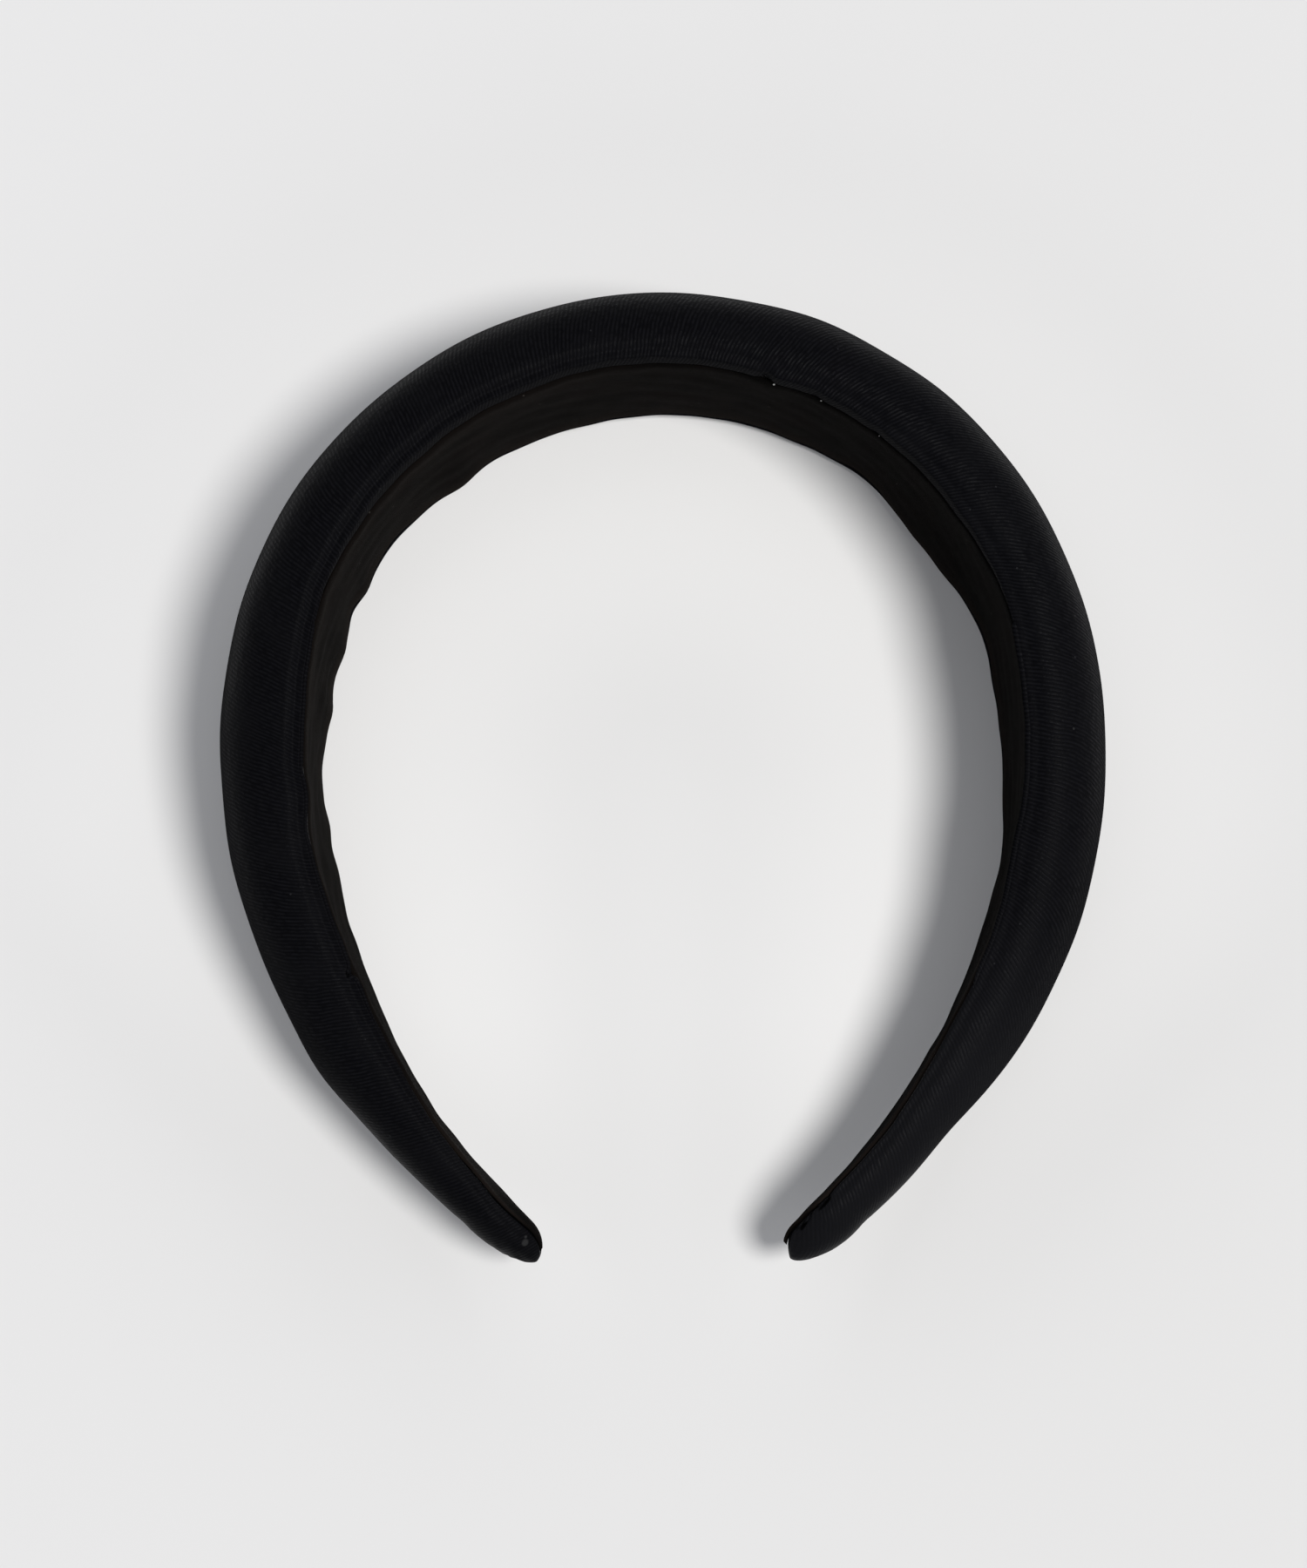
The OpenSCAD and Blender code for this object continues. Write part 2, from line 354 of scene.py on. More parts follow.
def cover_rings(s):
    """Points of the cloth's outer face, in metres."""
    section = cover_section(s)
    n, z = section[..., 0], section[..., 1]
    s, w = s[:, None], half_width(s)[:, None]
    # The edges follow the puckered lining, and the foam under the cloth is never quite even.
    near = smooth((7 - n) / 6)
    low, high = smooth((-z / w - 0.1) / 0.9), smooth((z / w - 0.1) / 0.75)
    on_pad = smooth((n - 3) / 4)
    n = n - near * (0.75 * low * pucker(s) + high * upper_bulge(s)) + 0.1 * on_pad * ripple(11, s, z, 14, 60)
    # Each end closes towards its point, with the cloth gathered over it.
    distance, point, outer, outer_power, inner, inner_power, crumple = end_of(s)
    gather = smooth((9 - distance) / 7) * smooth(distance / 1.5)
    n = n + crumple * gather * on_pad * ripple(5, 1.3 * s, z, 1.8, 5)
    over, under = closing(distance, outer, outer_power), closing(distance, inner, inner_power)
    n = point + (n - point) * np.where(n > point, over, under)
    return place(s, n, z * np.maximum(over, under * 0.5) ** 0.85)


def across(rings):
    """Unit vectors in the plane of each open ring, square to its line and pointing inwards."""
    line = np.gradient(rings, axis=1)
    along = np.gradient(rings, axis=0)
    normal = np.cross(line, along)
    normal /= np.maximum(np.linalg.norm(normal, axis=2, keepdims=True), 1e-12)
    inwards = ((rings.mean(1, keepdims=True) - rings) * normal).sum(2).mean()
    return normal * np.sign(inwards)


def make_cover():
    s = stations(HALF_LEN + ENDS[-1][0], HALF_LEN + ENDS[1][0], 0.9, 13)
    outer = cover_rings(s)
    cloth = CLOTH_T * MM * np.clip(end_of(s)[0] / 6, 0.02, 1)[:, None, None]
    inner = outer + cloth * across(outer)
    # The unseen inside needs only every second point.
    return tube("satin_cover", s, np.concatenate([outer, inner[:, ::-2]], 1)), outer


cover, cover_face = make_cover()


# ---------------------------------------------------------------- lining
def make_lining():
    left, right = HALF_LEN + 1.2, HALF_LEN + 0.7
    s = stations(left, right, 0.9, 9)
    a = np.abs(s)
    # The ends are cut to points: the left one lies in the gathered cloth, the right one is a loose flap.
    left_point = np.clip((left - a) / 13, 0.02, 1) ** 0.7
    right_point = np.clip((right - a) / 9, 0.02, 1) ** 0.6
    point = np.where(s < 0, left_point, right_point)
    fray = smooth((HALF_LEN - a) / 8)
    upper = (half_width(s) - bare(s)) * point + 0.1 * ripple(21, s, 0, 4, 18) * fray
    lower = (half_width(s) - LINING_INSET) * point + 0.2 * ripple(22, s, 0, 4, 18) * fray
    t = np.linspace(-1, 1, 61)
    z = np.where(t > 0, t * upper[:, None], t * lower[:, None])
    bulge = smooth((0.15 - t) / 1.1) * pucker(s)[:, None]
    bulge = bulge + smooth((t - 0.1) / 0.75) * upper_bulge(s)[:, None]
    front = 0.1 * ripple(23, s[:, None], 1.6 * z, 7, 26) * (1 - t**4) - bulge
    # The cut edges curve back into the seam.
    rim = np.clip((np.abs(t) - 0.94) / 0.06, 0, 1)
    front = front + np.where(t > 0, 0.12, 0.42) * rim**2
    front = front - 0.12 * smooth((np.abs(t) - 0.72) / 0.2) * (1 - rim)
    distance, deep, _, _, inner, power, _ = end_of(s)
    hold = np.where(s < 0, 1.0, 0.65)[:, None]  # the flap on the right has come away from the cloth
    lift = hold * (deep[:, None] - front) * (1 - closing(distance, inner, power))[:, None]
    peel = 0.3 * smooth((s - HALF_LEN + 4) / 5)[:, None]
    front = front + lift - peel
    # It is thinnest at the tips, where it has been pulled.
    thick = LINING_T - 0.3 * smooth((a - 150) / 35)[:, None]
    back = np.maximum(front + 0.3, np.minimum(thick, thick - 0.8 * bulge) + lift - 1.5 * peel)
    pile = place(s[:, None], front, z)
    backing = place(s[:, None], back, z * 0.995)
    return tube("velvet_lining", s, np.concatenate([pile, backing[:, ::-1]], 1))


lining = make_lining()


# ---------------------------------------------------------------- the layers inside
def make_strip(name, depth, thick, inset, short, rounding, steps, extra=()):
    """A bent strip with rounded long edges and rounded ends, ending short of the inner face's length."""
    end = HALF_LEN - short
    s = stations(end, end, 3, 6)
    w = half_width(s) - inset
    w = w * np.sqrt(1 - 0.95 * np.clip((np.abs(s) - end + rounding) / rounding, 0, 1) ** 2)
    a = np.linspace(-0.5 * math.pi, 0.5 * math.pi, steps)
    r = thick / 2
    n = np.concatenate([r * np.sin(a), r * np.sin(a[::-1])]) + depth + r
    side = np.repeat([1, -1], steps)
    z = side * (np.maximum(w - r, 0.2)[:, None] + r * np.cos(np.concatenate([a, a[::-1]])))
    return tube(name, s, place(s[:, None], n[None, :], z), extra)


def make_foam():
    """The foam fills the cover: its section is the cover's, brought in, and cut flat on the former."""
    end = HALF_LEN - NOSE_LEN - 1
    s = stations(end, end, 1.5, 5)
    section = cover_section(s)
    w = half_width(s)[:, None]
    n, z = section[..., 0], section[..., 1]
    n = n - FOAM_SET_IN * smooth((n - FOAM_N) / (0.6 * thickness(s) - FOAM_N)[:, None])
    n = n + 0.05 * ripple(31, s[:, None], z, 3, 9)
    brim = np.minimum(w - 0.75, w - 0.75 - 0.55 * (FOAM_N + 1.9 - n))
    z = np.clip(z, -brim, brim)
    n = np.maximum(n, FOAM_N + 0.02)
    shut = np.sqrt(1 - 0.8 * np.clip((np.abs(s) - end + 5) / 5, 0, 1) ** 2)[:, None]
    return tube("foam_pad", s, place(s[:, None], FOAM_N + (n - FOAM_N) * shut, z * shut))


def bead(s, width):
    """A drop of adhesive in the upper seam, as a lump for tube()."""
    mesh = bpy.data.meshes.new("bead")
    shape = bmesh.new()
    bmesh.ops.create_icosphere(shape, subdivisions=3, radius=1)
    shape.to_mesh(mesh)
    shape.free()
    points = np.array([v.co[:] for v in mesh.vertices]) * [width, 0.7 * width, 0.6 * width]
    faces = [list(face.vertices) for face in mesh.polygons]
    bpy.data.meshes.remove(mesh)
    at = np.array([s])
    centre = place(at, 0.22 - upper_bulge(at), half_width(at) - bare(at) + 0.1)[0]
    return centre + points * MM, faces, s


foam = make_foam()
core = make_strip("former", CORE_N, CORE_T, CORE_INSET, NOSE_LEN, 5, 9)
tape = make_strip("foam_tape", TAPE_N, TAPE_T, TAPE_INSET, NOSE_LEN + TAPE_INSET, 3, 3)
beads = [bead(s, size) for s, size in BEADS]
glue = make_strip("lining_glue", HEM_N + 0.05, COVER_T, HEM_W + 0.1, NOSE_LEN, 2.5, 5, beads)

# ---------------------------------------------------------------- in place of the CAD's pieces
PIECES = {
    cover: ("cover", "satin_cover"),
    lining: ("lining", "velvet_lining"),
    foam: ("foam", "pad_foam"),
    core: ("core", "former_plastic"),
    tape: ("foam_tape", "foam_tape"),
    glue: ("lining_glue", "lining_adhesive"),
}
for piece, (node, slot) in PIECES.items():
    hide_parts(node + "_right", node + "_left")
    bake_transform(piece)


def top_of_cover(s, n):
    """The point on the upper side of the cloth at length s and depth n, in metres."""
    ring = cover_rings(np.array([s]))[0]
    upper = ring[ring[:, 2] > HEAD[2] * MM]
    return upper[np.linalg.norm((upper - place(s, n, 0))[:, :2], axis=1).argmin()]


# Paler spots on the cloth, two at the left tip and one on the right arm: (length from the crown, depth,
# radius) in mm
PALE_SPOTS = [(-188.6, 2.0, 0.28), (-189.2, 2.7, 0.65), (96.0, 7.5, 0.22)]
# Painted shade where the upper seam has opened, standing in for the shadow in each gap: (length from the
# crown, depth, half width, half length) in mm
SEAM_GAP_SHADE = [(-137.0, -1.5, 0.36, 0.8), (181.8, -0.2, 0.38, 2.3), (187.2, 0.0, 0.42, 1.9)]


# ---------------------------------------------------------------- materials
class Nodes:
    """A short way to write a material's nodes."""

    def __init__(self, name):
        self.material = bpy.data.materials.new(name)
        self.material.use_nodes = True
        self.tree = self.material.node_tree
        self.tree.nodes.clear()
        self.out = self.add("ShaderNodeOutputMaterial")
        self.shader = self.add("ShaderNodeBsdfPrincipled")
        self.tree.links.new(self.shader.outputs[0], self.out.inputs["Surface"])

    def add(self, kind, **settings):
        node = self.tree.nodes.new(kind)
        for key, value in settings.items():
            setattr(node, key, value)
        return node

    def put(self, value, socket):
        if hasattr(value, "links"):
            self.tree.links.new(value, socket)
        else:
            socket.default_value = value
        return socket

    def math(self, operation, a, b=0.0, c=0.0, clamp=False):
        node = self.add("ShaderNodeMath", operation=operation, use_clamp=clamp)
        for k, value in enumerate((a, b, c)):
            self.put(value, node.inputs[k])
        return node.outputs[0]

    def noise(self, vector, scale, detail=3.0, roughness=0.55, distortion=0.0):
        node = self.add("ShaderNodeTexNoise")
        self.put(vector, node.inputs["Vector"])
        node.inputs["Scale"].default_value = scale
        node.inputs["Detail"].default_value = detail
        node.inputs["Roughness"].default_value = roughness
        node.inputs["Distortion"].default_value = distortion
        return node.outputs["Fac"]

    def ramp(self, value, low, high, out_low=0.0, out_high=1.0):
        """A smooth step from out_low to out_high as value goes from low to high."""
        node = self.add("ShaderNodeMapRange", interpolation_type="SMOOTHSTEP")
        self.put(value, node.inputs["Value"])
        self.put(low, node.inputs["From Min"])
        self.put(high, node.inputs["From Max"])
        self.put(out_low, node.inputs["To Min"])
        self.put(out_high, node.inputs["To Max"])
        return node.outputs["Result"]

    def mix(self, factor, a, b):
        node = self.add("ShaderNodeMix", data_type="RGBA")
        self.put(factor, node.inputs[0])
        self.put(a, node.inputs[6])
        self.put(b, node.inputs[7])
        return node.outputs[2]

    def vector(self, x, y, z=0.0):
        node = self.add("ShaderNodeCombineXYZ")
        for k, value in enumerate((x, y, z)):
            self.put(value, node.inputs[k])
        return node.outputs[0]

    def band(self):
        """Length along the band and distance round the ring, as in tube(), in mm."""
        uv = self.add("ShaderNodeUVMap", uv_map="band")
        split = self.add("ShaderNodeSeparateXYZ")
        self.tree.links.new(uv.outputs[0], split.inputs[0])
        u = self.math("MULTIPLY", split.outputs[0], 1 / MM)
        v = self.math("MULTIPLY", split.outputs[1], 1 / MM)
        return u, v

    def place(self):
        """The point's own place, in metres."""
        return self.add("ShaderNodeTexCoord").outputs["Object"]

    def bump(self, height, distance, strength=1.0, normal=None):
        node = self.add("ShaderNodeBump")
        self.put(height, node.inputs["Height"])
        node.inputs["Distance"].default_value = distance
        node.inputs["Strength"].default_value = strength
        if normal is not None:
            self.put(normal, node.inputs["Normal"])
        return node.outputs["Normal"]

    def specks(self, scale, size, share):
        """Specks of lint: 1 in a few small dots, thicker where a wide noise is above share."""
        dots = self.add("ShaderNodeTexVoronoi", feature="F1")
        self.put(self.place(), dots.inputs["Vector"])
        dots.inputs["Scale"].default_value = scale
        near = self.math("LESS_THAN", dots.outputs["Distance"], size)
        wide = self.noise(self.place(), 0.4 * scale, 2.0)
        return self.math("MULTIPLY", near, self.math("GREATER_THAN", wide, share))

    def spot(self, s, n, size, length=None):
        """1 within size mm of a point on the cloth's upper side, and 0 further out.

        With a length, the spot reaches about that far each way along the band.
        """
        along = place(s + 0.1, n, 0) - place(s - 0.1, n, 0)
        apart = self.add("ShaderNodeVectorMath", operation="SUBTRACT")
        self.put(self.place(), apart.inputs[0])
        apart.inputs[1].default_value = top_of_cover(s, n)
        far = self.add("ShaderNodeVectorMath", operation="LENGTH")
        self.put(apart.outputs[0], far.inputs[0])
        run = self.add("ShaderNodeVectorMath", operation="DOT_PRODUCT")
        self.put(apart.outputs[0], run.inputs[0])
        stretch = math.sqrt(1 - (size / (length or size)) ** 2)
        run.inputs[1].default_value = along / np.linalg.norm(along) * stretch
        far, run = far.outputs["Value"], run.outputs["Value"]
        off = self.math("SUBTRACT", self.math("MULTIPLY", far, far), self.math("MULTIPLY", run, run))
        off = self.math("SQRT", self.math("MAXIMUM", off, 0.0))
        return self.ramp(off, 0.6 * size * MM, 1.2 * size * MM, 1.0, 0.0)

    def paint_seam_gap_shade(self, colour):
        """The colour, with painted shade where the upper seam has opened, standing in for the shadow in each
        gap.
        """
        for s, n, size, length in SEAM_GAP_SHADE:
            colour = self.mix(self.spot(s, n, size, length), colour, rgb(0.0005, 0.0005, 0.0006))
        return colour

    def set(self, **values):
        for key, value in values.items():
            self.put(value, self.shader.inputs[key.replace("_", " ")])
        return self.material


def rgb(r, g, b):
    return (r, g, b, 1.0)


RIB_PITCH = 0.63  # one rib of the twill, in mm along the band
TOP_V = 21.0  # distance from the middle of the pad to the top of its upper side, in mm round the cloth


def satin():
    m = Nodes("satin twill")
    u, v = m.band()
    cloth = m.vector(u, v)
    # The ribs lean towards the right as they run out over the pad, least over the crown and at the right's
    # widest place.
    lean = m.math("ADD", m.ramp(u, -110.0, -20.0, 0.38, 0.20), m.ramp(u, -5.0, 50.0, 0.0, 0.30))
    turn = m.math("SUBTRACT", m.ramp(u, 100.0, 145.0, 0.0, 0.40), m.ramp(u, 65.0, 100.0, 0.0, 0.28))
    lean = m.math("ADD", lean, turn)
    drift = m.math("MULTIPLY", m.math("SUBTRACT", m.noise(cloth, 0.09, 2.0), 0.5), 1.6)
    slant = m.math("MULTIPLY", m.math("SUBTRACT", v, TOP_V), lean)
    phase = m.math("ADD", m.math("ADD", u, slant), drift)
    rib = m.math("MULTIPLY_ADD", m.math("SINE", m.math("MULTIPLY", phase, 2 * math.pi / RIB_PITCH)), 0.5, 0.5)
    # Each rib is a row of short floats, so its crest breaks up along its length.
    floats = m.noise(m.vector(m.math("MULTIPLY", phase, 1.6), m.math("MULTIPLY", v, 0.8)), 1.0, 2.0, 0.6)
    crest = m.math("MULTIPLY", rib, m.ramp(floats, 0.34, 0.60, 0.25, 1.0))
    # Along the pad's widest line its ribs are fainter and it is matt. The fainter ribs darken its colour
    # there too, a painted shade along the rim.
    widest = m.math("MULTIPLY", m.ramp(v, 3.0, 14.0, 1.0, 0.0), m.ramp(v, -12.0, -3.0))
    crest = m.math("MULTIPLY", crest, m.math("MULTIPLY_ADD", widest, -0.5, 1.0))
    patch = m.noise(cloth, 0.11, 4.0, 0.6)
    colour = m.mix(crest, rgb(0.0017, 0.0017, 0.0022), rgb(0.0052, 0.0052, 0.0062))
    colour = m.mix(m.ramp(patch, 0.42, 0.75, 0.0, 0.5), colour, rgb(0.0042, 0.0042, 0.0049))
    colour = m.mix(m.specks(300.0, 0.05, 0.54), colour, rgb(0.014, 0.014, 0.015))
    # The cloth is painted paler towards the right tip, a painted highlight standing in for the lamp's gloss
    # there.
    colour = m.mix(m.ramp(u, 118.0, 152.0, 0.0, 0.5), colour, rgb(0.0080, 0.0080, 0.0091))
    # Over the crown a flattened strip of it shows beside the lining, which is less glossy.
    over_crown = m.ramp(m.math("ABSOLUTE", u), 60.0, 84.0, 1.0, 0.0)
    strip = m.math("MULTIPLY", m.ramp(v, 25.4, 26.4), over_crown)
    for s, n, radius in PALE_SPOTS:
        pale_spot = m.math("MULTIPLY", m.spot(s, n, radius), 0.6)
        colour = m.mix(pale_spot, colour, rgb(0.028, 0.028, 0.028))
    # Painted shade in the opened upper seam
    colour = m.paint_seam_gap_shade(colour)
    normal = m.bump(m.noise(cloth, 0.5, 3.0), 0.00022, 0.5)
    normal = m.bump(crest, 0.00007, 1.0, normal)
    # At the tips it is glossy all round.
    matt = m.math("MULTIPLY", widest, m.ramp(u, -162.0, -138.0))
    matt = m.math("MULTIPLY", matt, m.ramp(u, 155.0, 175.0, 1.0, 0.0))
    polish = m.math("SUBTRACT", 1.0, m.math("MAXIMUM", matt, m.math("MULTIPLY", strip, 0.6)))
    gloss = m.ramp(m.math("MULTIPLY_ADD", patch, -0.5, crest), -0.3, 0.8, 0.44, 0.58)
    return m.set(
        Base_Color=colour,
        Roughness=m.math("SUBTRACT", 0.9, m.math("MULTIPLY", polish, gloss)),
        Specular_IOR_Level=0.014,
        Sheen_Weight=0.002,
        Sheen_Roughness=0.4,
        Sheen_Tint=rgb(0.80, 0.84, 1.0),
        Normal=normal,
    )


def velvet():
    m = Nodes("velvet pile")
    u, v = m.band()
    ribbon = m.vector(u, v)
    streak = m.noise(m.vector(m.math("MULTIPLY", u, 0.10), m.math("MULTIPLY", v, 0.55)), 1.0, 3.0)
    blotch = m.noise(ribbon, 0.16, 4.0, 0.6)
    tone = m.noise(ribbon, 0.07, 3.0, 0.6)
    pile = m.noise(ribbon, 4.2, 3.0, 0.7)
    mixed = m.math("ADD", m.math("MULTIPLY", streak, 0.3), m.math("MULTIPLY", blotch, 0.7))
    colour = m.mix(m.ramp(mixed, 0.38, 0.64), rgb(0.0011, 0.0011, 0.0011), rgb(0.0025, 0.0023, 0.0021))
    colour = m.mix(m.ramp(tone, 0.45, 0.62, 0.0, 0.6), colour, rgb(0.0030, 0.0021, 0.0020))
    colour = m.mix(m.ramp(pile, 0.35, 0.75, 0.0, 0.6), colour, rgb(0.0040, 0.0036, 0.0032))
    # The pile is painted paler along the upper edge on the left, a painted sheen where the lamp lights that
    # edge. It is browner along the lower edge all round, over the upper half towards both tips and over the
    # whole of the right end.
    lamp_lit_edge = m.math("MULTIPLY", m.ramp(v, 7.0, 13.0, 0.0, 0.8), m.ramp(u, 10.0, -30.0))
    colour = m.mix(lamp_lit_edge, colour, rgb(0.0051, 0.0040, 0.0035))
    worn = m.math("ADD", m.ramp(u, -150.0, -172.0, 0.0, 0.55), m.ramp(u, 118.0, 150.0, 0.0, 0.65))
    worn = m.math("MULTIPLY", worn, m.math("MAXIMUM", m.ramp(v, 2.0, 5.0), m.ramp(u, 184.0, 188.0)))
    colour = m.mix(worn, colour, rgb(0.0125, 0.0094, 0.0078))
    colour = m.mix(m.ramp(v, -9.0, -15.0, 0.0, 0.8), colour, rgb(0.0082, 0.0062, 0.0053))
    colour = m.mix(m.specks(330.0, 0.06, 0.53), colour, rgb(0.030, 0.028, 0.025))
    # Painted shade in the opened upper seam
    colour = m.paint_seam_gap_shade(colour)
    return m.set(
        Base_Color=colour,
        Roughness=m.ramp(pile, 0.3, 0.7, 0.98, 0.8),
        Specular_IOR_Level=0.015,
        Sheen_Weight=0.0045,
        Sheen_Roughness=0.45,
        Sheen_Tint=rgb(1.0, 0.86, 0.74),
        Normal=m.bump(pile, 0.00012, 0.9, m.bump(mixed, 0.0005, 0.5)),
    )


def foam_stuff():
    m = Nodes("open-cell foam")
    cells = m.add("ShaderNodeTexVoronoi", feature="DISTANCE_TO_EDGE")
    m.put(m.place(), cells.inputs["Vector"])
    cells.inputs["Scale"].default_value = 1600.0
    wall = m.ramp(cells.outputs["Distance"], 0.02, 0.25)
    age = m.noise(m.place(), 40.0, 4.0)
    colour = m.mix(wall, rgb(0.82, 0.80, 0.72), rgb(0.60, 0.57, 0.48))
    colour = m.mix(m.ramp(age, 0.4, 0.8, 0.0, 0.4), colour, rgb(0.72, 0.64, 0.46))
    roughness = m.ramp(wall, 0.0, 1.0, 0.8, 1.0)
    return m.set(Base_Color=colour, Roughness=roughness, Normal=m.bump(wall, 0.00012, 0.8))


def moulded():
    m = Nodes("moulded plastic")
    grain = m.noise(m.place(), 900.0, 2.0)
    flow = m.noise(m.place(), 35.0, 4.0, 0.6, 0.4)
    colour = m.mix(flow, rgb(0.016, 0.016, 0.017), rgb(0.030, 0.030, 0.032))
    roughness = m.ramp(flow, 0.3, 0.7, 0.38, 0.55)
    return m.set(Base_Color=colour, Roughness=roughness, Normal=m.bump(grain, 0.00003, 0.5))


def paper_tape():
    m = Nodes("tape")
    fibre = m.noise(m.place(), 700.0, 4.0, 0.7)
    colour = m.mix(fibre, rgb(0.62, 0.57, 0.42), rgb(0.78, 0.74, 0.62))
    roughness = m.ramp(fibre, 0.3, 0.7, 0.5, 0.8)
    return m.set(Base_Color=colour, Roughness=roughness, Normal=m.bump(fibre, 0.00004, 0.6))


def adhesive():
    m = Nodes("craft adhesive")
    flow = m.noise(m.place(), 260.0, 3.0)
    colour = m.mix(flow, rgb(0.22, 0.22, 0.21), rgb(0.36, 0.36, 0.35))
    roughness = m.ramp(flow, 0.3, 0.7, 0.12, 0.32)
    return m.set(Base_Color=colour, Roughness=roughness, Normal=m.bump(flow, 0.0002, 0.6))


MAKERS = {
    cover: satin,
    lining: velvet,
    foam: foam_stuff,
    core: moulded,
    tape: paper_tape,
    glue: adhesive,
}
for piece, make in MAKERS.items():
    piece.data.materials.append(make())


# ---------------------------------------------------------------- floor, light and camera
# The band's lower edge rises towards the tips, so the band rests on it at its two sides, tilted.
REST_TILT = 3.3
TABLE_AT = Vector((0, 0.0277, -0.00035))  # just under where the full width ends
TABLE_SIDE = 2.5  # half the table's width
FLOOR_ALBEDO = 0.65
MOST_ALBEDO = 0.95
KEY = np.array([0.380, -0.140, 0.930])
KEY_RADIUS = 0.155
KEY_POWER = 34.5
KEY_COLOUR = (1.0, 0.995, 0.985)
KEY_SHARE = 0.62  # of the light on the table
SKY = 0.54
WALL_COLOUR = rgb(1.20, 1.23, 1.30)
CEILING_COLOUR = rgb(0.50, 0.51, 0.54)
CEILING_FROM, CEILING_TO = 0.62, 0.95  # height on the unit sky


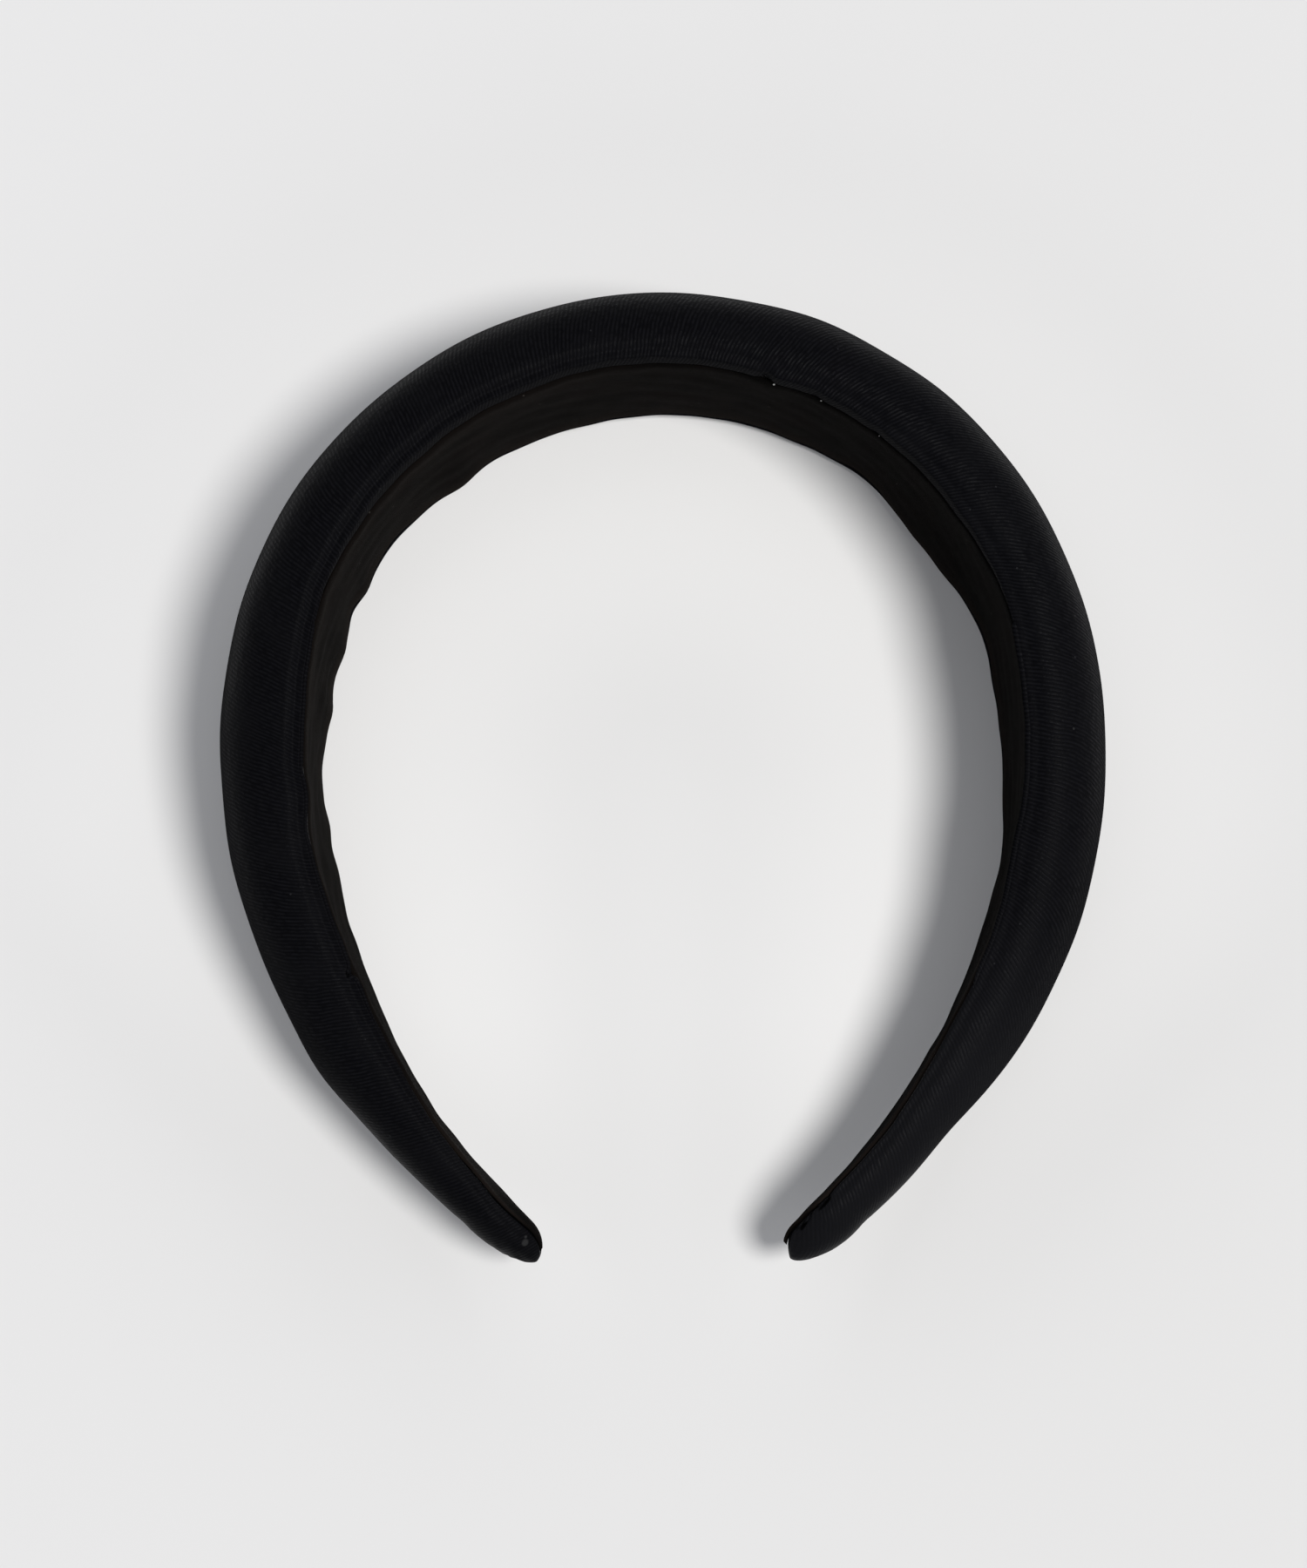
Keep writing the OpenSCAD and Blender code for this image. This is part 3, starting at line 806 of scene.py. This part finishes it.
def make_table():
    mesh = bpy.data.meshes.new("table")
    side = TABLE_SIDE
    corners = [(-side, -side, 0), (side, -side, 0), (side, side, 0), (-side, side, 0)]
    mesh.from_pydata(corners, [], [(0, 1, 2, 3)])
    table = bpy.data.objects.new("table", mesh)
    bpy.context.scene.collection.objects.link(table)
    table.rotation_euler = Euler((-math.radians(REST_TILT), 0, 0))
    table.location = TABLE_AT
    m = Nodes("table top")
    # The lamp is near, so the table is also a little paler away from it and looks even all over.
    reach = m.add("ShaderNodeVectorMath", operation="DISTANCE")
    m.put(m.add("ShaderNodeNewGeometry").outputs["Position"], reach.inputs[0])
    reach.inputs[1].default_value = KEY
    falloff = m.math("POWER", m.math("DIVIDE", float(np.linalg.norm(KEY)), reach.outputs["Value"]), 3.0)
    # Near the band, which keeps some of the light off it, the table is paler, and most of all just inside the
    # arc, which opens out towards the tips.
    split = m.add("ShaderNodeSeparateXYZ")
    m.put(m.add("ShaderNodeNewGeometry").outputs["Position"], split.inputs[0])
    x, y = split.outputs["X"], split.outputs["Y"]
    past = m.math("MAXIMUM", m.math("MULTIPLY", y, -1 / 0.080), 0.0)
    widening = m.math("MULTIPLY_ADD", m.math("MULTIPLY", past, past), 0.9, 1.0)
    across_it = m.math("MULTIPLY", m.math("ABSOLUTE", x), widening)
    ahead = m.math("MAXIMUM", y, 0.0)
    squares = m.math("ADD", m.math("MULTIPLY", across_it, across_it), m.math("MULTIPLY", ahead, ahead))
    out = m.math("SQRT", squares)
    inside = m.math("MULTIPLY", m.ramp(out, 0.008, 0.056), m.ramp(out, 0.062, 0.080, 1.0, 0.0))
    around = m.math("MULTIPLY", m.ramp(out, 0.062, 0.080), m.ramp(out, 0.080, 0.125, 1.0, 0.0))
    gain = m.math("MULTIPLY_ADD", inside, 0.20, m.math("MULTIPLY", around, 0.075))
    gain = m.math("ADD", gain, m.ramp(out, 0.025, 0.130, 0.085, 0.0))
    gain = m.math("MULTIPLY", gain, m.ramp(y, -0.110, -0.035, 0.0, 1.0))
    base = m.math("MULTIPLY_ADD", gain, FLOOR_ALBEDO, FLOOR_ALBEDO)
    even = m.math("DIVIDE", base, m.math("MULTIPLY_ADD", falloff, KEY_SHARE, 1 - KEY_SHARE))
    even = m.math("MINIMUM", even, MOST_ALBEDO)
    grain = m.ramp(m.noise(m.place(), 30.0, 3.0), 0.3, 0.7, 0.997, 1.0)
    grey = m.math("MULTIPLY", even, grain)
    warm = m.vector(grey, m.math("MULTIPLY", grey, 0.990), m.math("MULTIPLY", grey, 0.975))
    m.set(Base_Color=warm, Roughness=m.ramp(grain, 0.997, 1.0, 0.9, 1.0), Specular_IOR_Level=0.0)
    table.data.materials.append(m.material)


def make_lights():
    key = bpy.data.lights.new("key", "POINT")
    key.energy = KEY_POWER
    key.shadow_soft_size = KEY_RADIUS
    key.color = KEY_COLOUR
    lamp = bpy.data.objects.new("key", key)
    lamp.location = Vector(KEY)
    bpy.context.scene.collection.objects.link(lamp)
    world = bpy.data.worlds.new("studio")
    bpy.context.scene.world = world
    world.use_nodes = True
    tree = world.node_tree
    sky = tree.nodes["Background"]
    sky.inputs["Strength"].default_value = SKY
    # The walls are pale and the ceiling is darker.
    height = tree.nodes.new("ShaderNodeSeparateXYZ")
    tree.links.new(tree.nodes.new("ShaderNodeTexCoord").outputs["Generated"], height.inputs[0])
    ceiling = tree.nodes.new("ShaderNodeMapRange")
    ceiling.interpolation_type = "SMOOTHSTEP"
    ceiling.inputs["From Min"].default_value = CEILING_FROM
    ceiling.inputs["From Max"].default_value = CEILING_TO
    tree.links.new(height.outputs["Z"], ceiling.inputs["Value"])
    shade = tree.nodes.new("ShaderNodeMix")
    shade.data_type = "RGBA"
    shade.inputs[6].default_value = WALL_COLOUR
    shade.inputs[7].default_value = CEILING_COLOUR
    tree.links.new(ceiling.outputs["Result"], shade.inputs[0])
    tree.links.new(shade.outputs[2], sky.inputs["Color"])


make_table()
make_lights()

# The camera stands over the gap between the tips and leans a little towards the crown.
CAMERA = HEAD + np.array([-4.2, -68.2, 449.9])
CAMERA_TILT, CAMERA_LEAN = 7.35, -0.31
LENS = 61.3
camera_data = bpy.data.cameras.new("camera")
camera_data.sensor_width = 36
camera_data.lens = LENS
camera_data.clip_start, camera_data.clip_end = 0.01, 20
camera = bpy.data.objects.new("camera", camera_data)
bpy.context.scene.collection.objects.link(camera)
camera.location = Vector(CAMERA * MM)
camera.rotation_euler = Euler((math.radians(CAMERA_TILT), math.radians(CAMERA_LEAN), 0))
bpy.context.scene.camera = camera
bpy.context.scene.view_settings.view_transform = "Standard"
